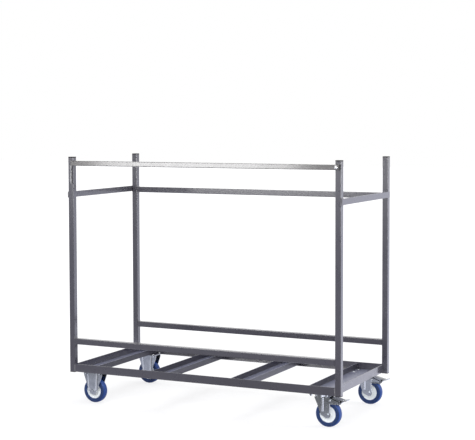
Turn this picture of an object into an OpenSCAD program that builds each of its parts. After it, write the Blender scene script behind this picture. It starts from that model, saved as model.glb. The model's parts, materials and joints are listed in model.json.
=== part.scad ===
// Transport trolley with leg trays. A welded steel frame holds four folded trays, a front bar
// swings open on a hinge and is held shut by a locking pin, and the frame rides on two fixed
// castors (left) and two braked swivel castors (right).
// Millimetres, +Z up, front towards -Y, length along X.
// Origin on the floor under the middle of the overall box.

/* [Frame] */
// Length over the corner posts
frame_l = 1500; // [1200:10:1800]
// Depth over the corner posts
frame_d = 675; // [600:5:800]
// Length of a corner post
post_h = 1103; // [900:1:1300]
// Side of the square frame tube
tube_w = 30; // [25:1:40]
// Wall of the square tubes
tube_t = 2; // [1.5:0.5:3]
// Outer corner radius of the square tubes
tube_r = 3; // [2.5:0.5:4]
// Leg of the bottom angle rails
angle_w = 40; // [35:1:50]
// Thickness of the bottom angle rails
angle_t = 3; // [2.5:0.5:5]
// Underside of the lower rails above the floor
lower_rail_z = 302; // [260:1:420]
// Underside of the upper rear rail above the floor
upper_rail_z = 1054; // [900:1:1150]

/* [End bars] */
// Underside of the end bars above the floor
end_bar_z = 1059; // [900:1:1150]
// Height of the flat end bars
end_bar_h = 30; // [20:1:40]
// Thickness of the flat end bars
end_bar_t = 5; // [4:1:8]
// Length of the flat end bars
end_bar_l = 660; // [560:1:760]
// Shift of the end bars towards the back
end_bar_shift = -6; // [-20:1:20]

/* [Leg trays] */
// Outside width of the two middle trays
tray_w = 101; // [80:1:130]
// Height of the tray walls
tray_h = 30; // [20:1:40]
// Sheet thickness of the trays
tray_t = 2; // [1.5:0.5:3]
// Outside bend radius of the trays
tray_r = 4; // [3:0.5:6]
// Distance of a middle tray from the middle of the pattern
middle_tray_x = 222; // [180:1:280]
// Distance of an end tray wall from the middle of the pattern
end_wall_x = 587.5; // [540:0.5:610]
// Shift of the tray pattern along the frame
tray_shift = -13; // [-20:1:20]

/* [Front bar] */
// Side of the square front bar
bar_w = 25; // [20:1:30]
// Underside of the front bar above the floor
bar_z = 1223.5; // [1100:0.5:1230]
// Gap between the front bar and the posts
bar_gap = 3.5; // [2.5:0.5:6]
// Hinge axis from the outer face of the left post
hinge_in = 28; // [22:1:29]
// Length of the hinge barrel
barrel_h = 89; // [60:1:120]
// Diameter of the hinge barrel
barrel_d = 18; // [16:1:20]
// Diameter of the hinge pin
hinge_pin_d = 12; // [10:1:14]
// Diameter of the locking pin
pin_d = 10; // [8:1:12]
// How far the locking pin reaches into the post
pin_reach = 14; // [10:1:18]

/* [Castors] */
// Height of a castor from the floor to its top plate
castor_h = 160; // [150:1:170]
// Wheel diameter
wheel_d = 125; // [100:1:125]
// Tyre width
tyre_w = 36; // [30:1:40]
// Distance of the castors from the middle of the frame, along X
castor_x = 630; // [500:1:640]
// Distance of the castors from the middle of the frame, along Y
castor_y = 282; // [220:1:290]
// Trail of the swivel castors
trail = 38; // [30:1:42]
// Gap between the fork legs
fork_in = 48; // [46:1:54]
// Thickness of the fork legs
fork_t = 3; // [2.5:0.5:4]
// Travel of the brake pedal in degrees
brake_travel = 10; // [6:1:10]

/* [Hidden] */
$fn = 64;
fit = 0.06;
half_l = frame_l / 2;
half_d = frame_d / 2;
base_z = castor_h;
post_x = half_l - tube_w / 2;
post_y = half_d - tube_w / 2;
inner_l = frame_l - 2 * tube_w;
inner_d = frame_d - 2 * angle_t;
floor_z = base_z + angle_t;
cap_t = 5;
foot_t = 3;
plate_l = 110;
plate_w = 90;
plate_t = 2.5;
bolt_x = 40;
bolt_y = 35;
bolt_hole = 9;
pad_x0 = 577;
pad_y0 = 235;
bar_y = -half_d - bar_gap - bar_w / 2;
bar_x0 = -half_l + hinge_in + hinge_pin_d / 2 - 1.5;
bar_x1 = half_l;
bar_cap = 1.5;
hinge_x = -half_l + hinge_in;
bar_mid_z = bar_z + bar_w / 2;
pin_head = 8;
pin_play = 0.3;
axle_z = wheel_d / 2;
leg_y = fork_in / 2 + fork_t / 2;
race_r = 22;
ball_r = 3.5;
ball_z = castor_h - 10;
crown_z = castor_h - 20;
kingpin_r = 6;
pivot_x = trail + 15;
pivot_z = axle_z + 67.5;
brake_pin_r = 3;
strap_h = 7.6;
strap_r = 8;
strap_top = 23.5;
strap_foot = 18;
strap_lean = atan((strap_top - strap_foot) / (castor_h - axle_z - 21));
pedal_reach = trail + 103.2;
x_min = -half_l - end_bar_t;
x_max = max(half_l + end_bar_t, castor_x + pedal_reach);
y_min = bar_y - bar_w / 2 - pin_play - pin_head;
mid_x = (x_min + x_max) / 2;
mid_y = (y_min + half_d) / 2;

steel = [0.36, 0.36, 0.39];
sheet = [0.42, 0.42, 0.46];
black = [0.06, 0.06, 0.07];
zinc = [0.68, 0.70, 0.73];
blue = [0.24, 0.33, 0.55];
white = [0.85, 0.87, 0.88];
bronze = [0.62, 0.47, 0.26];
rubber = [0.12, 0.12, 0.13];

// Outlines shared by several pieces

module rounded(w, h, r) {
    square([w - 2 * r, h], center = true);
    square([w, h - 2 * r], center = true);
    for (sx = [-1, 1])
        for (sy = [-1, 1])
            translate([sx * (w / 2 - r), sy * (h / 2 - r)])
                circle(r);
}

module tube_section(w) {
    difference() {
        rounded(w, w, tube_r);
        rounded(w - 2 * tube_t, w - 2 * tube_t, tube_r - tube_t);
    }
}

// Square tube along X, centred on the origin
module tube_x(l, w) {
    rotate([0, 90, 0])
        linear_extrude(l, center = true)
            tube_section(w);
}

// Leg of the angle outside, flange inwards at the bottom
module angle_section() {
    polygon([[0, 0], [angle_w, 0], [angle_w, angle_t], [angle_t, angle_t],
        [angle_t, angle_w], [0, angle_w]]);
}

// Profile drawn in X and Z, with its width across Y
module across(w) {
    rotate([90, 0, 0])
        linear_extrude(w, center = true)
            children();
}

module at_origin() {
    translate([-mid_x, -mid_y, 0])
        children();
}

module at_corners() {
    for (sx = [-1, 1])
        for (sy = [-1, 1])
            translate([sx * post_x, sy * post_y, 0])
                children();
}

module at_castor(sx, sy) {
    translate([sx * castor_x, sy * castor_y, 0])
        children();
}

// Bolt pattern of one castor plate
module at_bolts() {
    for (bx = [-1, 1])
        for (by = [-1, 1])
            translate([bx * bolt_x, by * bolt_y, 0])
                children();
}

module bolt_holes() {
    for (sx = [-1, 1])
        for (sy = [-1, 1])
            at_castor(sx, sy)
                at_bolts()
                    translate([0, 0, base_z - 10])
                        cylinder(h = 30, d = bolt_hole);
}

// Frame

module post(sx, sy) {
    color(steel)
        difference() {
            translate([sx * post_x, sy * post_y, base_z])
                linear_extrude(post_h)
                    tube_section(tube_w);
            if (sx > 0 && sy < 0)
                translate([post_x, -half_d - 1, bar_mid_z])
                    rotate([-90, 0, 0])
                        cylinder(h = tube_t + 4, d = pin_d + 2);
        }
}

module bottom_rail(sy) {
    color(steel)
        difference() {
            mirror([0, sy > 0 ? 1 : 0, 0])
                translate([-inner_l / 2, -half_d, base_z])
                    rotate([90, 0, 90])
                        linear_extrude(inner_l)
                            angle_section();
            bolt_holes();
        }
}

module side_rail(sx) {
    color(steel)
        mirror([sx > 0 ? 0 : 1, 0, 0])
            translate([inner_l / 2 + angle_t, 0, base_z])
                rotate([90, 0, 180])
                    difference() {
                        linear_extrude(frame_d - 2 * tube_w, center = true)
                            angle_section();
                        for (s = [-1, 1])
                            translate([angle_t, -1, s * (half_d - angle_w / 2)])
                                linear_extrude(angle_w, center = true)
                                    square([angle_w, angle_t + 2]);
                    }
}

// Folded sheet with both walls
module tray_outline(w, r) {
    translate([-w / 2 + r, 0])
        square([w - 2 * r, r]);
    translate([-w / 2, r])
        square([w, tray_h - r]);
    for (s = [-1, 1])
        translate([s * (w / 2 - r), r])
            circle(r);
}

module middle_tray(s) {
    color(sheet)
        translate([tray_shift + s * middle_tray_x, 0, floor_z])
            across(inner_d)
                difference() {
                    tray_outline(tray_w, tray_r);
                    translate([0, tray_t])
                        tray_outline(tray_w - 2 * tray_t, tray_r - tray_t);
                }
}

// Folded sheet with one wall, floor running out to the side rail
module end_tray_outline(w, r) {
    translate([r, 0])
        square([w - r, tray_h]);
    translate([0, r])
        square([w, tray_h - r]);
    translate([r, r])
        circle(r);
}

module end_tray(s) {
    w = inner_l / 2 - s * tray_shift - end_wall_x;
    color(sheet)
        difference() {
            mirror([s > 0 ? 0 : 1, 0, 0])
                translate([end_wall_x + s * tray_shift, 0, floor_z])
                    across(inner_d)
                        difference() {
                            end_tray_outline(w, tray_r);
                            translate([tray_t, tray_t])
                                end_tray_outline(w, tray_r - tray_t);
                        }
            bolt_holes();
        }
}

module cross_rail(y, z) {
    color(steel)
        translate([0, y, z + tube_w / 2])
            tube_x(inner_l, tube_w);
}

module end_bar(sx) {
    color(steel)
        translate([sx * (half_l + end_bar_t / 2), end_bar_shift, end_bar_z + end_bar_h / 2])
            rotate([90, 0, 90])
                linear_extrude(end_bar_t, center = true)
                    rounded(end_bar_l, end_bar_h, 3);
}

// Plug that fills a tube end, with its flange below or above
module plug(w, l) {
    linear_extrude(l)
        rounded(w - 2 * tube_t - 0.2, w - 2 * tube_t - 0.2, tube_r - tube_t);
}

module post_top_caps() {
    color(black)
        at_corners() {
            translate([0, 0, base_z + post_h])
                linear_extrude(cap_t)
                    rounded(tube_w, tube_w, tube_r);
            translate([0, 0, base_z + post_h - 15])
                plug(tube_w, 15.5);
        }
}

module post_foot_caps() {
    color(black)
        at_corners() {
            translate([0, 0, base_z - foot_t])
                linear_extrude(foot_t)
                    rounded(tube_w, tube_w, tube_r);
            translate([0, 0, base_z - 0.5])
                plug(tube_w, 12.5);
        }
}

module castor_pads() {
    pad_l = inner_l / 2 + angle_t - angle_w - pad_x0;
    pad_w = half_d - angle_w - pad_y0;
    color(steel)
        difference() {
            for (sx = [-1, 1])
                for (sy = [-1, 1])
                    translate([sx * (pad_x0 + pad_l / 2), sy * (pad_y0 + pad_w / 2), base_z])
                        linear_extrude(angle_t)
                            square([pad_l, pad_w], center = true);
            bolt_holes();
        }
}

// Round-headed bolt down through the pad and the castor plate, with a nut below
module castor_bolt(head_z) {
    translate([0, 0, base_z - 13])
        cylinder(h = head_z - base_z + 14, d = 8);
    translate([0, 0, head_z])
        rotate_extrude()
            intersection() {
                translate([0, -10.5])
                    circle(14);
                square([9, 3.5]);
            }
}

function under_tray(sx, bx) = castor_x + sx * bx * bolt_x > end_wall_x + sx * tray_shift;

module castor_nut() {
    translate([0, 0, base_z - plate_t - 6.5])
        difference() {
            cylinder(h = 6.5, d = 14.4, $fn = 6);
            translate([0, 0, -1])
                cylinder(h = 9, d = 8.1);
        }
}

// Heads sit on the tray floor, or on the pad where the tray stops short of the bolt
module castor_bolts() {
    color(zinc)
        for (sx = [-1, 1])
            for (sy = [-1, 1])
                at_castor(sx, sy) {
                    at_bolts()
                        castor_nut();
                    for (bx = [-1, 1])
                        for (by = [-1, 1])
                            translate([bx * bolt_x, by * bolt_y, 0])
                                castor_bolt(under_tray(sx, bx) ? floor_z + tray_t : floor_z);
                }
}

// Front bar with its hinge and locking pin

module hinge_barrel() {
    color(steel)
        difference() {
            union() {
                translate([hinge_x, bar_y, bar_z - 1.5 - barrel_h])
                    cylinder(h = barrel_h, d = barrel_d);
                translate([hinge_x - 7, bar_y, bar_z - 1.5 - barrel_h])
                    cube([8, -half_d - bar_y, barrel_h]);
            }
            translate([hinge_x, bar_y, bar_z - barrel_h - 10])
                cylinder(h = barrel_h + 20, d = hinge_pin_d + 2 * fit);
        }
}

// Square tube with a closed left end that is welded to the side of the hinge pin
module front_bar() {
    color(steel)
        difference() {
            translate([bar_x0, bar_y, bar_mid_z])
                rotate([0, 90, 0]) {
                    linear_extrude(bar_x1 - bar_cap - bar_x0)
                        tube_section(bar_w);
                    linear_extrude(3)
                        rounded(bar_w, bar_w, tube_r);
                }
            translate([post_x, bar_y, bar_mid_z])
                rotate([90, 0, 0])
                    cylinder(h = 2 * bar_w, d = pin_d + 2 * fit, center = true);
            translate([hinge_x, bar_y, bar_z - 1])
                cylinder(h = bar_w + 2, d = hinge_pin_d + 0.04);
        }
}

module front_bar_caps() {
    color(black)
        translate([bar_x1, bar_y, bar_mid_z])
            rotate([0, -90, 0]) {
                linear_extrude(bar_cap)
                    rounded(bar_w, bar_w, tube_r);
                plug(bar_w, 6);
            }
}

module hinge_pin() {
    color(steel)
        translate([hinge_x, bar_y, 0]) {
            translate([0, 0, bar_z - barrel_h + 3])
                cylinder(h = barrel_h + bar_w - 3, d = hinge_pin_d);
            translate([0, 0, bar_z - 1.2])
                cylinder(h = 1.2, d = barrel_d);
        }
}

module locking_pin() {
    head_y = bar_y - bar_w / 2 - pin_play;
    color(zinc)
        translate([post_x, head_y, bar_mid_z])
            rotate([-90, 0, 0]) {
                cylinder(h = bar_w + bar_gap + pin_play + pin_reach, d = pin_d);
                translate([0, 0, -pin_head])
                    rotate_extrude()
                        intersection() {
                            translate([0, pin_head])
                                circle(8);
                            square([8, pin_head]);
                        }
            }
}

module locking_pin_clip() {
    color(zinc)
        translate([post_x, bar_y + bar_w / 2 - tube_t - 2.5, bar_mid_z])
            rotate([-90, 0, 0])
                difference() {
                    cylinder(h = 2, d = pin_d + 6);
                    translate([0, 0, -1])
                        cylinder(h = 4, d = pin_d);
                }
}

// Wheel

module axle_set(x) {
    color(zinc)
        translate([x, 0, axle_z])
            rotate([90, 0, 0]) {
                translate([0, 0, -fork_in / 2 - fork_t - 8])
                    cylinder(h = fork_in + 2 * fork_t + 10, d = 8);
                translate([0, 0, fork_in / 2 + fork_t])
                    cylinder(h = 5.3, d = 15, $fn = 6);
                translate([0, 0, -fork_in / 2 - fork_t - 6.5])
                    difference() {
                        cylinder(h = 6.5, d = 15, $fn = 6);
                        translate([0, 0, -1])
                            cylinder(h = 9, d = 8.1);
                    }
                difference() {
                    cylinder(h = fork_in, d = 14, center = true);
                    cylinder(h = fork_in + 2, d = 8.2, center = true);
                }
            }
}

// Half section of the hub: boss, dished web and rim, radius along X
module hub_section() {
    rim = wheel_d / 2 - 21.5;
    translate([10, -fork_in / 2 + 1])
        square([7, fork_in - 2]);
    polygon([[16, -15], [rim - 4, -12.5], [rim - 4, 12.5], [16, 15]]);
    translate([rim - 6, -tyre_w / 2 + 3])
        square([6, tyre_w - 6]);
}

module hub(x) {
    color(white)
        translate([x, 0, axle_z])
            rotate([90, 0, 0])
                rotate_extrude()
                    hub_section();
}

module tyre(x) {
    rim = wheel_d / 2 - 21.5;
    edge = 9;
    color(blue)
        translate([x, 0, axle_z])
            rotate([90, 0, 0])
                rotate_extrude() {
                    translate([rim, -tyre_w / 2])
                        square([wheel_d / 2 - edge - rim, tyre_w]);
                    translate([rim, -tyre_w / 2 + edge])
                        square([wheel_d / 2 - rim, tyre_w - 2 * edge]);
                    for (s = [-1, 1])
                        translate([wheel_d / 2 - edge, s * (tyre_w / 2 - edge)])
                            circle(edge);
                }
}

module bush(x) {
    color(bronze)
        translate([x, 0, axle_z])
            rotate([90, 0, 0])
                difference() {
                    cylinder(h = fork_in - 2, d = 19.96, center = true);
                    cylinder(h = fork_in, d = 14 + 2 * fit, center = true);
                }
}

// Fixed castor

module plate_outline() {
    difference() {
        rounded(plate_l, plate_w, 8);
        at_bolts()
            circle(d = bolt_hole);
    }
}

module fixed_leg() {
    translate([0, axle_z])
        circle(20);
    polygon([[-54, castor_h - 1], [-54, castor_h - 14], [-38, axle_z + 38], [-32, axle_z + 18],
        [-19.6, axle_z - 4], [19.6, axle_z - 4], [32, axle_z + 18], [38, axle_z + 38],
        [54, castor_h - 14], [54, castor_h - 1]]);
}

// Raised middle of a fixed leg, drawn in by the inset for the hollow behind it
module fixed_strap(inset = 0) {
    top = castor_h - 1 - 2 * inset;
    foot = axle_z + 20 + inset;
    polygon([[inset - strap_top, top], [inset - strap_foot, foot], [-10, foot - 9],
        [10, foot - 9], [strap_foot - inset, foot], [strap_top - inset, top]]);
}

// Pressed rib that bulges out of a fork leg, running up from the origin
module rib(l, r, sink, s) {
    intersection() {
        translate([0, -s * sink, 0])
            cylinder(h = l, r = r);
        translate([-r, s > 0 ? -1 : -9, -1])
            cube([2 * r, 10, l + 2]);
    }
}

// Rounded edge of the raised middle, leaning with it
module strap_edge(side, s) {
    below = 14;
    translate([side * strap_foot, s * (leg_y + fork_t / 2), axle_z + 20])
        rotate([0, side * strap_lean, 0])
            translate([0, 0, -below])
                rib((castor_h - axle_z - 21.5) / cos(strap_lean) + below, strap_r, 0, s);
}

// One leg pressed from sheet: the middle stands proud and is hollow behind
module pressed_leg(s) {
    difference() {
        union() {
            translate([0, s * leg_y, 0])
                across(fork_t)
                    fixed_leg();
            translate([0, s * (leg_y + fork_t / 2 + strap_h / 2 - 0.5), 0])
                across(strap_h + 1)
                    fixed_strap();
            for (side = [-1, 1])
                strap_edge(side, s);
        }
        translate([0, s * leg_y, axle_z])
            rotate([90, 0, 0])
                cylinder(h = 3 * fork_t, d = 8.2, center = true);
        translate([0, s * (leg_y - fork_t / 2 + strap_h / 2 - 0.5), 0])
            across(strap_h + 1)
                fixed_strap(2.5);
    }
}

module fixed_fork() {
    color(zinc) {
        translate([0, 0, castor_h - plate_t])
            linear_extrude(plate_t)
                plate_outline();
        for (s = [-1, 1])
            pressed_leg(s);
    }
}

// Braked swivel castor

module swivel_plate() {
    color(zinc) {
        difference() {
            translate([0, 0, castor_h - plate_t])
                linear_extrude(plate_t)
                    plate_outline();
            translate([0, 0, castor_h - 10])
                cylinder(h = 20, r = kingpin_r + 0.02);
        }
        rotate_extrude()
            difference() {
                polygon([[13, ball_z + 0.6], [29, ball_z + 0.6], [29, ball_z - 4], [31.5, ball_z - 4],
                    [31.5, castor_h - plate_t + 0.5], [13, castor_h - plate_t + 0.5]]);
                translate([race_r, ball_z])
                    circle(ball_r + 0.1);
            }
    }
}

module kingpin() {
    color(zinc) {
        translate([0, 0, crown_z - 7])
            cylinder(h = castor_h - crown_z + 7, r = kingpin_r);
        translate([0, 0, crown_z - 6.8])
            cylinder(h = 6.5, d = 20, $fn = 6);
    }
}

module swivel_balls() {
    color(zinc)
        for (a = [0:22.5:337.5])
            rotate([0, 0, a])
                translate([race_r, 0, ball_z])
                    sphere(ball_r);
}

module swivel_leg() {
    translate([trail, axle_z])
        circle(18);
    polygon([[-26, crown_z + 3], [-25, crown_z - 1], [-7, axle_z + 36], [4, axle_z + 4],
        [11, axle_z - 5], [trail - 12.7, axle_z - 12.7], [trail + 17, axle_z - 6],
        [trail + 16, axle_z + 49.5], [trail + 57, axle_z + 51], [trail + 57, axle_z + 63.5],
        [trail + 8, crown_z + 3]]);
}

module swivel_fork() {
    color(zinc) {
        rotate_extrude()
            difference() {
                polygon([[kingpin_r + fit, crown_z], [28.4, crown_z], [28.4, ball_z - 0.6],
                    [14, ball_z - 0.6], [14, crown_z + 3], [kingpin_r + fit, crown_z + 3]]);
                translate([race_r, ball_z])
                    circle(ball_r + 0.1);
            }
        difference() {
            translate([0, 0, crown_z])
                linear_extrude(3)
                    union() {
                        translate([-25, -leg_y])
                            square([trail + 33, 2 * leg_y]);
                        circle(28);
                    }
            translate([0, 0, crown_z - 1])
                cylinder(h = 5, r = kingpin_r + fit);
        }
        for (s = [-1, 1]) {
            translate([0, s * leg_y, 0])
                across(fork_t)
                    difference() {
                        swivel_leg();
                        translate([trail, axle_z])
                            circle(d = 8.2);
                        translate([pivot_x, pivot_z])
                            circle(brake_pin_r + 0.02);
                    }
            translate([0, s * (leg_y + fork_t / 2), 0]) {
                translate([16, 0, axle_z + 14])
                    rib(crown_z - axle_z - 12, 6.5, 2, s);
                translate([trail + 14, 0, axle_z + 6])
                    rib(46, 2.2, 0, s);
                translate([trail + 14, 0, axle_z + 53])
                    rotate([0, 90, 0])
                        rib(43, 2.2, 0, s);
            }
        }
    }
}

// Pedal cheek around the pivot
module pedal_cheek() {
    difference() {
        union() {
            translate([pivot_x, pivot_z])
                circle(5.2);
            polygon([[pivot_x, pivot_z + 5.2], [pivot_x + 13, pivot_z + 12], [pivot_x + 47, pivot_z + 3.5],
                [pivot_x + 44, pivot_z - 17], [pivot_x + 23, pivot_z - 7], [pivot_x, pivot_z - 5.2]]);
        }
        translate([pivot_x, pivot_z])
            circle(brake_pin_r + fit);
    }
}

module brake_pedal() {
    color(zinc) {
        for (s = [-1, 1])
            translate([0, s * 18.75, 0])
                across(2.5)
                    pedal_cheek();
        intersection() {
            across(40)
                polygon([[pivot_x + 11, pivot_z + 11], [pivot_x + 12, pivot_z + 14],
                    [pivot_x + 63.5, pivot_z + 1.7], [pedal_reach - 0.7, pivot_z + 6.9],
                    [pedal_reach, pivot_z + 4], [pivot_x + 63.4, pivot_z - 1.4]]);
            translate([pedal_reach / 2 + 20, 0, castor_h / 2])
                linear_extrude(castor_h, center = true)
                    rounded(pedal_reach - 40, 40, 10);
        }
        across(40)
            polygon([[pivot_x + 29, pivot_z - 6], [pivot_x + 29.5, pivot_z - 3],
                [pivot_x + 54, pivot_z - 8.7], [pivot_x + 53.4, pivot_z - 11.7]]);
    }
}

// Shoe drawn where it meets the tyre, then swung back by the travel of the pedal
module brake_shoe() {
    color(rubber)
        across(35)
            translate([pivot_x, pivot_z])
                rotate(brake_travel)
                    translate([trail - pivot_x, axle_z - pivot_z])
                        intersection() {
                            difference() {
                                circle(wheel_d / 2 + 7.5);
                                circle(wheel_d / 2 + 0.6);
                            }
                            polygon([[0, 0], [80, 62.5], [50, 80]]);
                        }
}

module brake_pin() {
    color(zinc)
        translate([pivot_x, 0, pivot_z])
            rotate([90, 0, 0]) {
                cylinder(h = fork_in + 2 * fork_t, r = brake_pin_r, center = true);
                for (s = [-1, 1])
                    translate([0, 0, s * (fork_in / 2 + fork_t + 1)])
                        cylinder(h = 2, d = 11, center = true);
            }
}

// Whole trolley

at_origin() post(-1, -1);  // post_front_left
at_origin() post(1, -1);  // post_front_right
at_origin() post(-1, 1);  // post_rear_left
at_origin() post(1, 1);  // post_rear_right
at_origin() bottom_rail(-1);  // rail_bottom_front
at_origin() bottom_rail(1);  // rail_bottom_rear
at_origin() side_rail(-1);  // rail_bottom_left
at_origin() side_rail(1);  // rail_bottom_right
at_origin() end_tray(-1);  // tray_end_left
at_origin() middle_tray(-1);  // tray_middle_left
at_origin() middle_tray(1);  // tray_middle_right
at_origin() end_tray(1);  // tray_end_right
at_origin() cross_rail(-post_y, lower_rail_z);  // rail_lower_front
at_origin() cross_rail(post_y, lower_rail_z);  // rail_lower_rear
at_origin() cross_rail(post_y, upper_rail_z);  // rail_upper_rear
at_origin() end_bar(-1);  // end_bar_left
at_origin() end_bar(1);  // end_bar_right
at_origin() post_top_caps();
at_origin() post_foot_caps();
at_origin() castor_pads();
at_origin() castor_bolts();
at_origin() hinge_barrel();
at_origin() front_bar();
at_origin() front_bar_caps();
at_origin() hinge_pin();
at_origin() locking_pin();
at_origin() locking_pin_clip();
at_origin() at_castor(-1, -1) fixed_fork();  // fixed_fork_front
at_origin() at_castor(-1, -1) axle_set(0);  // fixed_axle_front
at_origin() at_castor(-1, -1) hub(0);  // fixed_hub_front
at_origin() at_castor(-1, -1) tyre(0);  // fixed_tyre_front
at_origin() at_castor(-1, -1) bush(0);  // fixed_bush_front
at_origin() at_castor(-1, 1) fixed_fork();  // fixed_fork_rear
at_origin() at_castor(-1, 1) axle_set(0);  // fixed_axle_rear
at_origin() at_castor(-1, 1) hub(0);  // fixed_hub_rear
at_origin() at_castor(-1, 1) tyre(0);  // fixed_tyre_rear
at_origin() at_castor(-1, 1) bush(0);  // fixed_bush_rear
at_origin() at_castor(1, -1) swivel_plate();  // swivel_plate_front
at_origin() at_castor(1, -1) kingpin();  // kingpin_front
at_origin() at_castor(1, -1) swivel_balls();  // swivel_balls_front
at_origin() at_castor(1, -1) swivel_fork();  // swivel_fork_front
at_origin() at_castor(1, -1) axle_set(trail);  // swivel_axle_front
at_origin() at_castor(1, -1) hub(trail);  // swivel_hub_front
at_origin() at_castor(1, -1) tyre(trail);  // swivel_tyre_front
at_origin() at_castor(1, -1) bush(trail);  // swivel_bush_front
at_origin() at_castor(1, -1) brake_pedal();  // brake_pedal_front
at_origin() at_castor(1, -1) brake_shoe();  // brake_shoe_front
at_origin() at_castor(1, -1) brake_pin();  // brake_pin_front
at_origin() at_castor(1, 1) swivel_plate();  // swivel_plate_rear
at_origin() at_castor(1, 1) kingpin();  // kingpin_rear
at_origin() at_castor(1, 1) swivel_balls();  // swivel_balls_rear
at_origin() at_castor(1, 1) swivel_fork();  // swivel_fork_rear
at_origin() at_castor(1, 1) axle_set(trail);  // swivel_axle_rear
at_origin() at_castor(1, 1) hub(trail);  // swivel_hub_rear
at_origin() at_castor(1, 1) tyre(trail);  // swivel_tyre_rear
at_origin() at_castor(1, 1) bush(trail);  // swivel_bush_rear
at_origin() at_castor(1, 1) brake_pedal();  // brake_pedal_rear
at_origin() at_castor(1, 1) brake_shoe();  // brake_shoe_rear
at_origin() at_castor(1, 1) brake_pin();  // brake_pin_rear
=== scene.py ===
# %% [markdown]
# # A transport trolley with leg trays
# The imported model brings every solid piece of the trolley: tubes, trays, castors, the front bar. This
# notebook dresses them: paint, zinc, rubber and plastic, then the weld beads and the small fittings
# that only show from close by. Loading comes first, because all later pieces are placed against the
# boxes of the loaded nodes.

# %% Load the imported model
import json
import math

import bmesh
import bpy
from mathutils import Matrix, Vector


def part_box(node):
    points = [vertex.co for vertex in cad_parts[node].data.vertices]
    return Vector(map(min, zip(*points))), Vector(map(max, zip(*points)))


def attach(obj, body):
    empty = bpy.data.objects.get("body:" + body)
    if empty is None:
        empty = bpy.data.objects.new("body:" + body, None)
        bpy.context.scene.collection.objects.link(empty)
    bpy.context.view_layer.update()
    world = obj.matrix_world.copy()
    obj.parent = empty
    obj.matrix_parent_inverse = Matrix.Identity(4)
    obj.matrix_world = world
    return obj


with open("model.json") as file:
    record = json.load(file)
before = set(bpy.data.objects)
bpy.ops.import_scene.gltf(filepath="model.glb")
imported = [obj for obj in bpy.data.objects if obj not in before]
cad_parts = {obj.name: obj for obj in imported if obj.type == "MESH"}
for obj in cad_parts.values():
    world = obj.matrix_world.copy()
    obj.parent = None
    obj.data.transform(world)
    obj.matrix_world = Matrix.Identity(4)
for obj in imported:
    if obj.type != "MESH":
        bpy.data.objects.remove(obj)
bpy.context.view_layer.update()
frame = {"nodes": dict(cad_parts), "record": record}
nodes = frame["nodes"]
scene = bpy.context.scene

# %% [markdown]
# ## Camera
# The trolley is seen from the front right, from a little above the posts, through a long lens.
# A steeper tilt could bring the whole trolley into the picture, but the posts would then lean
# together. Instead the camera stays nearly level, and a small vertical shift of the lens lowers
# the picture onto the trolley, as on a camera for buildings.

# %% Camera
IMAGE_W = 475
FOCAL_PX = 1352.66
AXIS_ABOVE_MIDDLE_PX = 30
SENSOR_MM = 36.0
CAMERA_PLACE = (3.0521, -6.1718, 1.4773)
CAMERA_TURN_DEG = (86.846, 0.139, 25.920)

camera_data = bpy.data.cameras.new("camera")
camera_data.sensor_width = SENSOR_MM
camera_data.lens = FOCAL_PX / IMAGE_W * SENSOR_MM
camera_data.shift_y = -AXIS_ABOVE_MIDDLE_PX / IMAGE_W
camera = bpy.data.objects.new("camera", camera_data)
camera.location = CAMERA_PLACE
camera.rotation_euler = [math.radians(angle) for angle in CAMERA_TURN_DEG]
scene.collection.objects.link(camera)
scene.camera = camera
print("lens", round(camera_data.lens, 1), "mm")

# %% [markdown]
# ## Node helpers
# The backdrop, the floor paper and every finish are small node trees. A tree could be written out
# node by node, but each node takes several lines, and the recipe gets lost among them. Four helpers
# keep the recipes short: they map a value to another range, do sums, mix two colours, and split
# a place or a direction into X, Y and Z.

# %% Node helpers
def map_range(tree, value, start, stop, low, high, smooth=False):
    """Turns a value that runs from start to stop into one that runs from low to high."""
    node = tree.nodes.new("ShaderNodeMapRange")
    if smooth:
        node.interpolation_type = "SMOOTHSTEP"
    limits = {"From Min": start, "From Max": stop, "To Min": low, "To Max": high}
    for socket, number in limits.items():
        node.inputs[socket].default_value = number
    tree.links.new(value, node.inputs["Value"])
    return node.outputs["Result"]


def calculate(tree, operation, *values):
    """Works one sum of the Math node on one or two values."""
    node = tree.nodes.new("ShaderNodeMath")
    node.operation = operation
    for socket, value in zip(node.inputs, values):
        tree.links.new(value, socket)
    return node.outputs[0]


def mix_colours(tree, factor, first, second):
    """Goes from the first colour to the second. A colour is a tuple or the output of a node."""
    node = tree.nodes.new("ShaderNodeMix")
    node.data_type = "RGBA"
    tree.links.new(factor, node.inputs["Factor"])
    sockets = [socket for socket in node.inputs if socket.type == "RGBA"]
    for socket, colour in zip(sockets, (first, second)):
        if isinstance(colour, tuple):
            socket.default_value = (*colour, 1.0)
        else:
            tree.links.new(colour, socket)
    return [socket for socket in node.outputs if socket.type == "RGBA"][0]


def split_axes(tree, vector):
    """The X, Y and Z of a place or a direction."""
    node = tree.nodes.new("ShaderNodeSeparateXYZ")
    tree.links.new(vector, node.inputs[0])
    return node.outputs


print("node helpers ready")

# %% [markdown]
# ## Finishes
# A finish is a material with its Principled shader. Painted pictures could give it detail, but they
# need an unwrapped mesh and blur from close by. Noise nodes need no unwrapping and stay sharp. They
# run in object coordinates: every mesh already sits in its place, so a pattern runs on from one
# piece to the next, and it still travels with its piece when a joint moves. Some finishes also
# change with the way that a surface faces, which is read from its normal.

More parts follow.
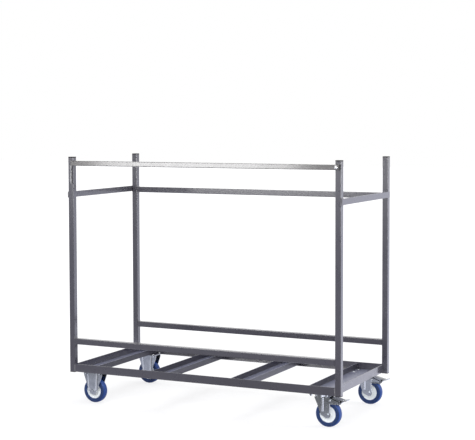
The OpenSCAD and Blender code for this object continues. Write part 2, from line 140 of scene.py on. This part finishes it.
# %% A finish and its textures
class Finish:
    """One material with its shader, and short ways to hang textures on it."""

    def __init__(self, name):
        self.material = bpy.data.materials.new(name)
        self.material.use_nodes = True
        self.tree = self.material.node_tree
        self.shader = self.tree.nodes["Principled BSDF"]
        coordinates = self.tree.nodes.new("ShaderNodeTexCoord")
        self.place = coordinates.outputs["Object"]
        self.normal = coordinates.outputs["Normal"]

    def set(self, **values):
        """Gives sockets a fixed value. An underscore stands for a space in a socket's name."""
        for name, value in values.items():
            self.shader.inputs[name.replace("_", " ")].default_value = value

    def drive(self, socket, value):
        self.tree.links.new(value, self.shader.inputs[socket])

    def noise(self, scale, detail=3.0, stretch=(1.0, 1.0, 1.0)):
        mapping = self.tree.nodes.new("ShaderNodeMapping")
        mapping.inputs["Scale"].default_value = stretch
        self.tree.links.new(self.place, mapping.inputs["Vector"])
        texture = self.tree.nodes.new("ShaderNodeTexNoise")
        texture.inputs["Scale"].default_value = scale
        texture.inputs["Detail"].default_value = detail
        self.tree.links.new(mapping.outputs["Vector"], texture.inputs["Vector"])
        return texture.outputs["Fac"]

    def span(self, value, low, high, start=0.3, stop=0.7):
        """Spreads a value over low to high. A noise seldom leaves the range of 0.3 to 0.7."""
        return map_range(self.tree, value, start, stop, low, high)

    def mix(self, factor, first, second):
        return mix_colours(self.tree, factor, first, second)

    def facing(self, axis, start, stop):
        """Goes from 0 to 1 as the surface turns to face along X, Y or Z, to either side."""
        size = calculate(self.tree, "ABSOLUTE", split_axes(self.tree, self.normal)[axis])
        return self.span(size, 0.0, 1.0, start, stop)

    def bump(self, height, strength, distance):
        node = self.tree.nodes.new("ShaderNodeBump")
        node.inputs["Strength"].default_value = strength
        node.inputs["Distance"].default_value = distance
        self.tree.links.new(height, node.inputs["Height"])
        self.drive("Normal", node.outputs["Normal"])


print("finish class ready")

# %% [markdown]
# ## Lamps
# The trolley stands in plain soft light. Point lamps would give hard shadows and bright dots in the
# metal, so each lamp is an area lamp of the size of a real softbox, which also mirrors as one. The
# large one at the front left has its lower edge at waist height: the front bar mirrors it, which is
# why the middle of the bar looks almost white, and the rear rail looks under it and stays dark. Two
# panels on the right light the wheels and the ends, and one overhead fills the trays.

# %% Lamps
def softbox(name, place, aim, width, height, watts):
    data = bpy.data.lights.new(name, "AREA")
    data.shape = "RECTANGLE"
    data.size = width
    data.size_y = height
    data.energy = watts
    lamp = bpy.data.objects.new(name, data)
    lamp.location = place
    lamp.rotation_euler = (Vector(aim) - Vector(place)).to_track_quat("-Z", "Y").to_euler()
    scene.collection.objects.link(lamp)


softbox("softbox_front_left", place=(-1.40, -3.0, 1.6), aim=(-0.4, 0.0, 1.15),
        width=1.45, height=1.3, watts=52)
softbox("softbox_front_right", place=(2.3, -3.3, 1.5), aim=(0.2, 0.0, 0.4),
        width=1.2, height=1.2, watts=84)
softbox("softbox_right", place=(3.4, 0.9, 1.3), aim=(0.6, 0.0, 0.7),
        width=1.0, height=1.4, watts=45)
softbox("softbox_top", place=(0.0, 0.4, 3.6), aim=(0.0, 0.0, 0.0),
        width=2.4, height=2.0, watts=50)

# %% [markdown]
# ## Backdrop
# Behind the trolley the studio is white, and on the camera's side it is dimmer. A curved sheet could
# be modelled for that. The world does it without a mesh: its strength is read from the direction of
# a ray, so that the metal mirrors a bright side and a dim side. The camera itself, and what is seen
# through something clear, gets plain white.

# %% Backdrop
DIM_LEVEL, DIM_SIDE_Y = 0.40, -0.5
BRIGHT_LEVEL, BRIGHT_SIDE_Y = 0.95, 0.4
WHITE = (1.0, 1.0, 1.0)

world = bpy.data.worlds.new("white_sweep")
world.use_nodes = True
scene.world = world
backdrop = world.node_tree
sky = backdrop.nodes["Background"]
sky.inputs["Color"].default_value = (*WHITE, 1.0)
towards = split_axes(backdrop, backdrop.nodes.new("ShaderNodeTexCoord").outputs["Generated"])
studio_level = map_range(backdrop, towards["Y"], DIM_SIDE_Y, BRIGHT_SIDE_Y, DIM_LEVEL, BRIGHT_LEVEL)
sky_ray = backdrop.nodes.new("ShaderNodeLightPath").outputs
seen = calculate(backdrop, "MAXIMUM", sky_ray["Is Camera Ray"], sky_ray["Is Transmission Ray"])
backdrop.links.new(calculate(backdrop, "MAXIMUM", seen, studio_level), sky.inputs["Strength"])
scene.view_settings.view_transform = "Standard"
print("backdrop from", DIM_LEVEL, "to", BRIGHT_LEVEL)

# %% [markdown]
# ## Floor
# The floor is a sheet of paper that looks almost white. It could curve up into a wall at the back,
# but one flat square that reaches far past the picture is enough, because floor and backdrop are
# both white where they meet. The paper itself is grey, so that it keeps a soft shadow under the
# wheels. For camera rays it also glows, and more so further out, until it runs into the backdrop
# without an edge.

# %% Floor paper
FLOOR_HALF = 30.0
PAPER_GREY = (0.26, 0.26, 0.27)
NEAR, NEAR_GLOW = 0.9, 0.74
FAR, FAR_GLOW = 3.5, 1.0

corners = [(FLOOR_HALF * x, FLOOR_HALF * y, 0) for x, y in ((-1, -1), (1, -1), (1, 1), (-1, 1))]
floor_mesh = bpy.data.meshes.new("floor")
floor_mesh.from_pydata(corners, [], [(0, 1, 2, 3)])
floor = bpy.data.objects.new("floor", floor_mesh)
scene.collection.objects.link(floor)

paper = Finish("floor_paper")
paper.set(Base_Color=(*PAPER_GREY, 1.0), Roughness=0.9, Specular_IOR_Level=0.0)
floor_ray = paper.tree.nodes.new("ShaderNodeLightPath").outputs
distance = paper.tree.nodes.new("ShaderNodeVectorMath")
distance.operation = "LENGTH"
paper.tree.links.new(paper.place, distance.inputs[0])
open_floor = map_range(paper.tree, distance.outputs["Value"], NEAR, FAR, NEAR_GLOW, FAR_GLOW, smooth=True)
shown = calculate(paper.tree, "MULTIPLY", floor_ray["Is Camera Ray"], open_floor)
floor_mesh.materials.append(paper.material)
print("floor", 2 * FLOOR_HALF, "m square")

# %% [markdown]
# ## Lit sheets on the floor
# White cards on the floor of a studio brighten the ribs and bolts of small metal parts. They could
# be planes, but planes would show in the picture. Here they are soft-edged patches of the
# floor's glow that only mirrored rays see, a little cool in colour: a long one behind the trolley,
# a dim one far in front, and others under its right half and beside both ends. Where sheets overlap,
# the brightest counts.

# %% Lit sheets
COOL_CAST = (0.82, 0.84, 1.0)
# Level of each sheet, then its edges: an axis, where the edge is dark and where it is fully lit
LIT_SHEETS = {
    "behind": (0.8, ("Y", 0.5, 1.3)),
    "far in front": (0.3, ("Y", -1.6, -2.5)),
    "under the right half": (0.9, ("Y", -0.66, -0.46), ("X", 0.15, 0.40)),
    "beside the right end": (1.0, ("Y", -1.2, -1.0), ("X", 0.75, 0.92)),
    "left of the swivel castors": (1.0, ("Y", -0.46, -0.34), ("X", 0.10, 0.30), ("X", 0.80, 0.60)),
    "at the left end": (0.95, ("Y", -0.98, -0.85), ("X", -0.1, -0.8)),
    "beside the left end": (1.0, ("Y", -0.85, -0.7), ("X", -0.95, -1.05)),
}
floor_place = split_axes(paper.tree, paper.place)
sheets = None
for level, *edges in LIT_SHEETS.values():
    sheet = None
    for axis, dark, lit in edges:
        edge = map_range(paper.tree, floor_place[axis], dark, lit, 0.0, level, smooth=True)
        sheet = edge if sheet is None else calculate(paper.tree, "MINIMUM", sheet, edge)
    sheets = sheet if sheets is None else calculate(paper.tree, "MAXIMUM", sheets, sheet)
mirrored = calculate(paper.tree, "MULTIPLY", floor_ray["Is Glossy Ray"], sheets)
paper.drive("Emission Strength", calculate(paper.tree, "ADD", shown, mirrored))
paper.drive("Emission Color", paper.mix(floor_ray["Is Camera Ray"], COOL_CAST, WHITE))
print(len(LIT_SHEETS), "lit sheets")

# %% [markdown]
# ## Grey frame paint
# The frame is sprayed with a dark grey lacquer with a little metal flake. One grey all over would
# look like plastic. Close up the lacquer has the faint orange peel of spray paint and flakes of
# a lighter grey; from a step away only the soft sheen is left. Rubbed patches are a little glossier,
# and a clear coat gives the long reflections. The front bar gets a lighter, warmer grey than the
# welded frame, which is a painted highlight. The round sides of the hinge barrel are painted nearly
# black and matt, as painted shade. The trays have a duller coat whose darker grey is partly painted
# shade of the load, and their level floors get a lighter blue-grey as a painted reflection of the
# bright backdrop. One recipe with a few options gives all of these.

# %% Grey frame paint
FLAKE_GAIN = 1.9
RUBBED_DROP, DULL_RISE = 0.02, 0.03
# A nearly black colour and its roughness for the round sides of the hinge barrel: painted shade.
SIDE_SHADE_BLACK = (0.006, 0.006, 0.006)
SHADED_SIDE_ROUGHNESS = 0.7


def grey_paint(name, dark, light, shine, coat=1.0, shaded_sides=False, floor_reflection=None):
    """Lacquer of two greys; it may take painted shade on round sides and a painted reflection on level
    faces.
    """
    paint = Finish(name)
    patches = paint.span(paint.noise(scale=7.0, detail=4.0), low=0.2, high=0.8)
    ground = paint.mix(patches, dark, light)
    specks = paint.noise(scale=1900.0, detail=1.0)
    flake = paint.span(specks, low=0.0, high=0.12, start=0.52, stop=0.75)
    colour = paint.mix(flake, ground, tuple(FLAKE_GAIN * c for c in light))
    paint.set(Coat_Weight=coat, Coat_Roughness=0.13, Specular_IOR_Level=0.75)
    # Level faces can take a lighter blue-grey, a painted reflection of the bright backdrop.
    if floor_reflection:
        colour = paint.mix(paint.facing("Z", start=0.7, stop=0.95), colour, floor_reflection)
    if shaded_sides:
        # Round sides that face along X are painted nearly black as painted shade; faces exactly along X
        # keep the lacquer.
        side_shade = paint.facing("X", start=0.60, stop=0.75)
        lug_side = paint.facing("X", start=0.95, stop=0.99)
        colour = paint.mix(lug_side, paint.mix(side_shade, colour, SIDE_SHADE_BLACK), colour)
        roughness = paint.span(side_shade, shine, SHADED_SIDE_ROUGHNESS, start=0.0, stop=1.0)
        paint.drive("Coat Weight", paint.span(side_shade, coat, 0.0, start=0.0, stop=1.0))
    else:
        roughness = paint.span(paint.noise(scale=16.0), shine - RUBBED_DROP, shine + DULL_RISE)
    paint.drive("Base Color", colour)
    paint.drive("Roughness", roughness)
    paint.bump(paint.noise(scale=420.0, detail=2.0), strength=0.015, distance=0.0004)
    return paint.material


FRAME_GREYS = (0.033, 0.031, 0.046), (0.041, 0.039, 0.056)
# Darker greys for the trays, partly painted shade of the load.
TRAY_GREYS_WITH_SHADE = (0.016, 0.015, 0.028), (0.022, 0.021, 0.036)
# A lighter, warmer grey for the front bar: a painted highlight.
BAR_HIGHLIGHT_GREYS = (0.070, 0.066, 0.068), (0.082, 0.078, 0.078)
# A lighter blue-grey for the level tray floors: a painted reflection.
TRAY_FLOOR_REFLECTION = (0.115, 0.122, 0.190)
frame_paint = grey_paint("frame_paint", *FRAME_GREYS, shine=0.28)
barrel_paint = grey_paint("barrel_paint", *FRAME_GREYS, shine=0.28, shaded_sides=True)
tray_paint = grey_paint("tray_paint", *TRAY_GREYS_WITH_SHADE, shine=0.42, coat=0.2, floor_reflection=TRAY_FLOOR_REFLECTION)
bar_highlight_paint = grey_paint("bar_highlight_paint", *BAR_HIGHLIGHT_GREYS, shine=0.26)
print("paints:", frame_paint.name, barrel_paint.name, tray_paint.name, bar_highlight_paint.name)

# %% [markdown]
# ## Zinc plating
# Forks, plates, bolts and pins are zinc plated: a slightly blue metal with cloudy patches and fine
# drawing marks from the press. The marks could be modelled as grooves, but they are far too shallow,
# so they are a bump from a noise that is stretched along the vertical. Flat faces keep a darker
# plating. Ribs, beads and edges, whose normals lean towards X, get a much brighter one, which is a
# painted highlight. The head of the locking pin is pulled every day and is the brightest of all.

# %% Zinc plating
def plating(name, dull, clear, side_highlight):
    """Plated steel, its flat faces between dull and clear, with a painted highlight on faces along X."""
    zinc = Finish(name)
    flat = zinc.mix(zinc.span(zinc.noise(scale=38.0, detail=4.0), 0.0, 1.0), dull, clear)
    # Faces that lean towards X get a much brighter plating: a painted highlight.
    zinc.drive("Base Color", zinc.mix(zinc.facing("X", start=0.10, stop=0.45), flat, side_highlight))
    zinc.drive("Roughness", zinc.span(zinc.noise(scale=60.0, detail=5.0), 0.16, 0.30))
    zinc.set(Metallic=1.0)
    drawing_marks = zinc.noise(scale=700.0, detail=2.0, stretch=(1.0, 1.0, 0.06))
    zinc.bump(drawing_marks, strength=0.06, distance=0.0003)
    return zinc.material


zinc_plating = plating("zinc_plating", dull=(0.23, 0.245, 0.265), clear=(0.31, 0.325, 0.345),
                       side_highlight=(0.72, 0.74, 0.77))
pin_plating = plating("pin_plating", dull=(0.84, 0.86, 0.88), clear=(0.90, 0.92, 0.93),
                      side_highlight=(0.94, 0.95, 0.96))
print("platings:", zinc_plating.name, pin_plating.name)

# %% [markdown]
# ## Tyre rubber
# The tyres are solid blue elastic rubber, matt with a faint sheen. The side walls are painted a
# darker blue as painted shade, and the tread a clearer blue as painted light. Two materials with
# assigned faces could show that. One material does it with a soft border: which of the two a point
# belongs to is read from its normal, because only side walls face along the axle.

# %% Tyre rubber
blue = Finish("blue_tyre_rubber")
scuff = blue.span(blue.noise(scale=30.0, detail=6.0), 0.0, 1.0, start=0.35, stop=0.75)
# A darker blue for the side walls as painted shade, a clearer blue for the tread as painted light.
shaded_side_wall = blue.mix(scuff, (0.008, 0.025, 0.088), (0.014, 0.036, 0.115))
lit_tread = blue.mix(scuff, (0.012, 0.052, 0.240), (0.020, 0.070, 0.285))
blue.drive("Base Color", blue.mix(blue.facing("Y", start=0.7, stop=0.98), lit_tread, shaded_side_wall))
blue.drive("Roughness", blue.span(blue.noise(scale=85.0, detail=4.0), 0.42, 0.60))
blue.set(Specular_IOR_Level=0.35)
blue.bump(blue.noise(scale=900.0), strength=0.12, distance=0.0004)
tyre_rubber = blue.material
print(tyre_rubber.name, "ready")

# %% [markdown]
# ## Hub plastic
# The hubs are moulded from pale plastic. One flat colour would look like paper, because the real
# plastic is never quite even: a slow noise drifts its colour, a finer one its gloss, and the finest
# gives the grain of the mould.

# %% Hub plastic
pale = Finish("pale_hub_plastic")
drift = pale.span(pale.noise(scale=22.0), 0.0, 1.0)
pale.drive("Base Color", pale.mix(drift, (0.78, 0.82, 0.84), (0.84, 0.87, 0.88)))
pale.drive("Roughness", pale.span(pale.noise(scale=120.0, detail=4.0), 0.36, 0.50))
pale.bump(pale.noise(scale=650.0), strength=0.08, distance=0.0003)
hub_plastic = pale.material
print(hub_plastic.name, "ready")

# %% [markdown]
# ## Cap plastic
# The plugs in the tube ends are black plastic with an eroded grain. Colour and bump could have noises
# of their own. They share one, because on a real plug the hollows of the grain are its darkest spots.

# %% Cap plastic
black = Finish("black_cap_plastic")
grain = black.noise(scale=1300.0)
speckle = black.span(grain, 0.0, 1.0)
black.drive("Base Color", black.mix(speckle, (0.012, 0.012, 0.013), (0.022, 0.022, 0.024)))
black.drive("Roughness", black.span(black.noise(scale=45.0, detail=4.0), 0.62, 0.75))
black.set(Specular_IOR_Level=0.25)
black.bump(grain, strength=0.15, distance=0.0004)
cap_plastic = black.material
print(cap_plastic.name, "ready")

# %% [markdown]
# ## Bush bronze
# Each wheel runs on a bush of sintered bronze, of which a thin edge shows at most. A bump could give
# its grain, but patches of brown and a gloss that varies are enough at that size.

# %% Bush bronze
bronze = Finish("bush_bronze")
tarnish = bronze.span(bronze.noise(scale=90.0, detail=4.0), 0.0, 1.0)
bronze.drive("Base Color", bronze.mix(tarnish, (0.36, 0.22, 0.08), (0.50, 0.34, 0.15)))
bronze.drive("Roughness", bronze.span(bronze.noise(scale=200.0), 0.30, 0.48))
bronze.set(Metallic=1.0)
bush_bronze = bronze.material
print(bush_bronze.name, "ready")

# %% [markdown]
# ## Brake shoe rubber
# The brake shoes are blocks of hard black rubber, rough from rubbing on the tyres. As on the caps,
# one noise gives both the dark pores and the paler dust between them, at a coarser scale.

# %% Brake shoe rubber
shoe = Finish("shoe_rubber")
pores = shoe.noise(scale=500.0, detail=4.0)
dust = shoe.span(pores, 0.0, 1.0)
shoe.drive("Base Color", shoe.mix(dust, (0.014, 0.014, 0.015), (0.030, 0.030, 0.032)))
shoe.drive("Roughness", shoe.span(shoe.noise(scale=60.0, detail=4.0), 0.65, 0.85))
shoe.bump(pores, strength=0.25, distance=0.0006)
shoe_rubber = shoe.material
print(shoe_rubber.name, "ready")

# %% [markdown]
# ## Finishes on the solid pieces
# The record names one slot per node, so a table from slot to finish dresses nearly all of them. It
# could be done piece by piece, but a table also covers a node that is added later. Three pieces then
# get a finish of their own: the front bar the lighter paint with its painted highlight, the hinge
# barrel the paint with painted shade on its round sides, and the locking pin the brighter plating.

# %% Dress the solid pieces
FINISH_OF_SLOT = {
    "paint": frame_paint,
    "tray_paint": tray_paint,
    "cap_plastic": cap_plastic,
    "zinc": zinc_plating,
    "tyre": tyre_rubber,
    "hub_plastic": hub_plastic,
    "bush": bush_bronze,
    "shoe_rubber": shoe_rubber,
}
OWN_FINISH = {"front_bar": bar_highlight_paint, "hinge_barrel": barrel_paint, "locking_pin": pin_plating}
slot_of_node = {s["node"]: s["material_slot"] for s in frame["record"]["subparts"]}
for name, piece in nodes.items():
    piece.data.materials.clear()
    piece.data.materials.append(OWN_FINISH.get(name, FINISH_OF_SLOT[slot_of_node[name]]))
print("dressed", len(nodes), "nodes")

# %% [markdown]
# ## Loops and skins
# All the small fittings below are made alike: loops of points, one after the other, and a skin of
# faces between them. Curves with a bevel and a radius at each point could make some of them, but
# loops serve rods, rings, domes and threads alike. A skin either ends in two caps or closes on
# itself as a ring. Each finished mesh becomes a piece that rides on a body and has a slot.

# %% Loops and skins
MM = 0.001


def turn_angles(count):
    """Angles that share a full turn evenly."""
    return [2 * math.pi * k / count for k in range(count)]


def skin(mesh, loops, ring=False):
    """Joins each loop of points to the next, and caps both ends or joins the last to the first."""
    count = len(loops[0])
    followers = loops[1:] + loops[:1] if ring else loops[1:]
    for low, high in zip(loops, followers):
        for k in range(count):
            mesh.faces.new((low[k], low[(k + 1) % count], high[(k + 1) % count], high[k]))
    if not ring:
        mesh.faces.new(list(reversed(loops[0])))
        mesh.faces.new(loops[-1])


def make_piece(name, mesh, body, finish):
    bmesh.ops.recalc_face_normals(mesh, faces=mesh.faces)
    data = bpy.data.meshes.new(name)
    mesh.to_mesh(data)
    mesh.free()
    data.polygons.foreach_set("use_smooth", [True] * len(data.polygons))
    data.materials.append(finish)
    piece = bpy.data.objects.new(name, data)
    scene.collection.objects.link(piece)
    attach(piece, body)


print("skins ready")

# %% [markdown]
# ## Weld beads
# The tubes and angles are joined by fillet welds. A bead is a row of small frozen puddles, so each
# one here is a thin rod along the seam, whose thickness swells once per puddle and closes at both
# ends. Half of it sinks into the corner. A bump in the paint could hint at it, but would vanish in
# the outline. The paint over a bead is rougher than elsewhere, and its lighter grey is a painted
# highlight.

# %% Bead helpers
PUDDLE = 2.6 * MM
PUDDLE_LOW, PUDDLE_RISE = 0.82, 0.18
LOOPS_PER_PUDDLE = 4
FEWEST_LOOPS = 8
BEAD_POINTS = 8
TIP_SHARE = 0.02
BEAD_RADIUS = 2.2 * MM

# A lighter grey than the frame: a painted highlight on the beads.
WELD_HIGHLIGHT_GREYS = (0.085, 0.083, 0.095), (0.125, 0.122, 0.136)
weld_highlight_paint = grey_paint("weld_highlight_paint", *WELD_HIGHLIGHT_GREYS, shine=0.34)


def add_bead(mesh, start, end, radius):
    start, end = Vector(start), Vector(end)
    along = (end - start).normalized()
    side = along.orthogonal().normalized()
    other = along.cross(side)
    length = (end - start).length
    steps = max(FEWEST_LOOPS, int(length / PUDDLE * LOOPS_PER_PUDDLE))
    loops = []
    for i in range(steps + 1):
        t = i / steps
        swell = PUDDLE_LOW + PUDDLE_RISE * abs(math.sin(math.pi * t * length / PUDDLE))
        close = min(1.0, math.sqrt(max(TIP_SHARE, min(t, 1 - t) * length / radius)))
        r = radius * swell * close
        centre = start + along * (t * length)
        loops.append([mesh.verts.new(centre + r * (math.cos(a) * side + math.sin(a) * other))
                      for a in turn_angles(BEAD_POINTS)])
    skin(mesh, loops)


def weld(name, seams, radius=BEAD_RADIUS, body="frame"):
    """One piece with a bead on each of these seams."""
    mesh = bmesh.new()
    for start, end in seams:
        add_bead(mesh, start, end, radius)
    make_piece(name, mesh, body, weld_highlight_paint)
    print(name, "with", len(seams), "beads")


def upright_seam(x, y, box, foot=MM, head=MM):
    """A seam straight up the height of a box, less a margin at its foot and its head."""
    low, high = box
    return (x, y, low.z + foot), (x, y, high.z - head)


print("bead helpers ready")

# %% [markdown]
# ## Welds on the rails
# The cross rails are square tubes that butt against the posts, with a bead above and below each end.
# The bottom rails are angles: each corner has a thick bead on the outside and another inside the
# upright leg. The places could be typed in, but reading them from the boxes of the rails keeps the
# beads on their seams whatever the size of the frame.

# %% Welds on the rails
SEAM_MARGIN = 1.5 * MM
CORNER_BEAD_RADIUS = 3.2 * MM
CORNER_BEAD_SINK = 1 * MM
ANGLE_SHEET = 3 * MM
ABOVE_LEVEL_LEG = 5 * MM

for rail in ("rail_lower_front", "rail_lower_rear", "rail_upper_rear"):
    low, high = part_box(rail)
    seams = []
    for x in (low.x, high.x):
        for z in (low.z, high.z):
            seams.append(((x, low.y + SEAM_MARGIN, z), (x, high.y - SEAM_MARGIN, z)))
    weld("weld_" + rail, seams)

for rail, outwards in (("rail_bottom_front", -1), ("rail_bottom_rear", 1)):
    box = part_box(rail)
    low, high = box
    face = low.y if outwards < 0 else high.y
    seams = []
    for x in (low.x, high.x):
        seams.append(upright_seam(x, face - outwards * CORNER_BEAD_SINK, box))
        seams.append(upright_seam(x, face - outwards * ANGLE_SHEET, box, foot=ABOVE_LEVEL_LEG))
    weld("weld_" + rail, seams, CORNER_BEAD_RADIUS)

# %% [markdown]
# ## Welds on the end bars
# Each end bar is a flat bar laid on the outside of two posts. Its beads run round three sides of
# each lap: up the end of the bar, and along its upper and lower edge as far as the post is wide. A
# list of twelve seams could be typed in; two loops over the boxes of the bars and posts find them.

# %% Welds on the end bars
LAP_MARGIN = 2 * MM
front_post_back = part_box("post_front_left")[1].y
rear_post_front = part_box("post_rear_left")[0].y

for bar in ("end_bar_left", "end_bar_right"):
    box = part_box(bar)
    low, high = box
    x = high.x if "left" in bar else low.x
    seams = []
    for y_end, y_in in ((low.y, front_post_back), (high.y, rear_post_front)):
        seams.append(upright_seam(x, y_end, box, foot=LAP_MARGIN, head=LAP_MARGIN))
        for z in (low.z, high.z):
            seams.append(((x, y_end, z), (x, y_in, z)))
    weld("weld_" + bar, seams)

# %% [markdown]
# ## Welds on the hinge
# The lug of the hinge barrel is welded to the front left post along both of its edges. The hinge pin
# is held by a plate in the end of the front bar, with a thin bead on each side of the plate. All four
# beads could be one piece, but the two on the bar ride on it, so that they swing with it.

# %% Welds on the hinge
LUG_EDGES = (-7 * MM, MM)
PIN_BEAD_RADIUS = 1.6 * MM
PIN_PLATE_SIDES = (-4.6 * MM, 4.6 * MM)

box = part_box("hinge_barrel")
low, high = box
hinge_x = (low.x + high.x) / 2
weld("weld_hinge_barrel", [upright_seam(hinge_x + edge, high.y, box) for edge in LUG_EDGES])

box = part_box("front_bar")
low, high = box
bar_y = (low.y + high.y) / 2
weld("weld_hinge_pin", [upright_seam(low.x, bar_y + side, box) for side in PIN_PLATE_SIDES],
     PIN_BEAD_RADIUS, "front_bar")

# %% [markdown]
# ## Lathe
# Rivet heads and mould rings are bodies of revolution. Blender's Screw modifier could turn them. One
# helper that spins an outline around an axis, as a lathe would, is shorter, and needs no modifier on
# the piece. The outline is a list of (radius, height) points, and the axis is given by a matrix, so
# the same helper serves every castor.

# %% Lathe
def spin(mesh, outline, place, segments):
    """Loops of points, one for each point of an outline that turns around the Z axis of place."""
    loops = []
    for radius, height in outline:
        loops.append([mesh.verts.new(place @ Vector((radius * math.cos(a), radius * math.sin(a), height)))
                      for a in turn_angles(segments)])
    return loops


def across_y(centre, turn=1):
    """Turns the lathe's axis onto Y at this centre, to either side."""
    return Matrix.Translation(centre) @ Matrix.Rotation(math.radians(90 * turn), 4, "X")


def middle(node):
    low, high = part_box(node)
    return (low + high) / 2


print("lathe ready")

# %% [markdown]
# ## Mould rings on the tyres
# A cast tyre shows the steps of its mould: two fine rings on each side wall. A bump could draw them,
# but would not catch the light at the edge of the wheel, so they are thin tori, sunk to half their
# thickness. They ride on the wheel and roll with it.

# %% Mould rings
TYRE_OF_WHEEL = {f"{kind}_wheel_{end}": f"{kind}_tyre_{end}"
                 for kind in ("fixed", "swivel") for end in ("front", "rear")}
MOULD_RING_RADII = (45 * MM, 51 * MM)
MOULD_RING_HALF = 0.7 * MM
MOULD_RING_POINTS = 10
MOULD_RING_SEGMENTS = 64

for body, tyre in TYRE_OF_WHEEL.items():
    low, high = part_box(tyre)
    half_width = (high.y - low.y) / 2
    place = across_y(middle(tyre))
    mesh = bmesh.new()
    for side in (-1, 1):
        for radius in MOULD_RING_RADII:
            outline = [(radius + MOULD_RING_HALF * math.cos(a),
                        side * half_width + MOULD_RING_HALF * math.sin(a))
                       for a in turn_angles(MOULD_RING_POINTS)]
            skin(mesh, spin(mesh, outline, place, MOULD_RING_SEGMENTS), ring=True)
    make_piece("mould_rings_" + tyre, mesh, body, tyre_rubber)
print("rings on", len(TYRE_OF_WHEEL), "tyres")

# %% [markdown]
# ## Pedal treads
# The upper lip of each brake pedal carries raised bars, so that a foot does not slip off it. They
# could be long boxes. Real ones are pressed ribs with round ends and a rough top, close to the shape
# of a short weld bead, so the bead helper serves again. Their places follow the slope of the lip
# from its bend to its tip, measured from the pedal's pivot.

# %% Pedal treads
LIP_BEND = Vector((63.5 * MM, 0.0, 1.7 * MM))
LIP_TIP = Vector((87.5 * MM, 0.0, 6.9 * MM))
TREADS = 4
FIRST_TREAD, TREAD_REACH = 0.12, 0.72
TREAD_HALF = Vector((0, 14 * MM, 0))
TREAD_RADIUS = 1.3 * MM


def add_pedal_treads(end):
    pivot = middle("brake_pin_" + end)
    mesh = bmesh.new()
    for i in range(TREADS):
        t = FIRST_TREAD + TREAD_REACH * i / (TREADS - 1)
        spot = pivot + LIP_BEND.lerp(LIP_TIP, t)
        add_bead(mesh, spot - TREAD_HALF, spot + TREAD_HALF, TREAD_RADIUS)
    make_piece("pedal_treads_" + end, mesh, "brake_" + end, zinc_plating)
    print(TREADS, "treads on the", end, "pedal")


print("treads cover", round(TREAD_REACH * (LIP_TIP - LIP_BEND).length / MM, 1), "mm of a lip")

# %% [markdown]
# ## Rivet heads
# Each pedal turns on a rivet with domed heads. A sphere could be squashed for a head, but half of it
# would be lost in the fork. The outline of a low dome on the lathe gives only what shows. The heads
# ride on the fork, because the rivet stays still while the pedal turns on it. The treads and the
# heads are then made castor by castor.

# %% Rivet heads
RIVET_RADIUS = 5.5 * MM
RIVET_RISE = 2.4 * MM
RIVET_SINK = 0.2 * MM
RIVET_SEGMENTS = 32
DOME_ANGLES_DEG = (0, 15, 30, 45, 60, 75, 85)
dome = [(RIVET_RADIUS * math.cos(a), RIVET_RISE * math.sin(a) - RIVET_SINK)
        for a in map(math.radians, DOME_ANGLES_DEG)]


def add_rivet_heads(end):
    pivot = middle("brake_pin_" + end)
    low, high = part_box("brake_pin_" + end)
    mesh = bmesh.new()
    for y, turn in ((low.y, 1), (high.y, -1)):
        skin(mesh, spin(mesh, dome, across_y((pivot.x, y, pivot.z), turn), RIVET_SEGMENTS))
    make_piece("rivet_heads_" + end, mesh, "swivel_" + end, zinc_plating)
    print("two heads on the", end, "rivet")


for end in ("front", "rear"):
    add_pedal_treads(end)
    add_rivet_heads(end)

# %% [markdown]
# ## Threads
# Each castor plate hangs on four bolts, whose ends stand out under their nuts. A stack of rings could
# pass for a thread, but a real one climbs while it turns: here a small ridge does one pitch per turn
# and fades out at both ends. The bolts are one solid, so their places come from the middle of each
# plate and the pattern of its holes.

# %% Threads on the castor bolts
BOLT_X, BOLT_Y = 40 * MM, 35 * MM
THREAD_RADIUS = 4 * MM
THREAD_PITCH = 1.25 * MM
THREAD_LENGTH = 3.1 * MM
THREAD_ABOVE_TIP = 0.7 * MM
THREAD_SEGMENTS = 20
RIDGE_SINK = 0.1 * MM
RIDGE_HEIGHT = 0.32 * MM
RIDGE_HALF = 0.45
FADE_SHARE = 0.25


def add_thread(mesh, place):
    steps = int(THREAD_LENGTH / THREAD_PITCH * THREAD_SEGMENTS)
    loops = []
    for i in range(steps + 1):
        angle = 2 * math.pi * i / THREAD_SEGMENTS
        fade = min(1.0, min(i, steps - i) / steps / FADE_SHARE)
        root = THREAD_RADIUS - RIDGE_SINK
        crest = THREAD_RADIUS + RIDGE_HEIGHT * fade
        loop = []
        for r, share in ((root, -RIDGE_HALF), (crest, 0.0), (root, RIDGE_HALF)):
            height = THREAD_PITCH * (i / THREAD_SEGMENTS + share)
            loop.append(mesh.verts.new(place @ Vector((r * math.cos(angle), r * math.sin(angle), height))))
        loops.append(loop)
    skin(mesh, loops)


thread_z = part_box("castor_bolts")[0].z + THREAD_ABOVE_TIP
bolts = 0
mesh = bmesh.new()
for plate in ("fixed_fork_front", "fixed_fork_rear", "swivel_plate_front", "swivel_plate_rear"):
    centre = middle(plate)
    for x in (-BOLT_X, BOLT_X):
        for y in (-BOLT_Y, BOLT_Y):
            add_thread(mesh, Matrix.Translation((centre.x + x, centre.y + y, thread_z)))
            bolts += 1
make_piece("bolt_threads", mesh, "frame", zinc_plating)
print("threads on", bolts, "bolts")

# %% [markdown]
# Dressing must not change the size of the trolley: only a weld bead may stand a little proud of the
# solids.


print("dressing done")
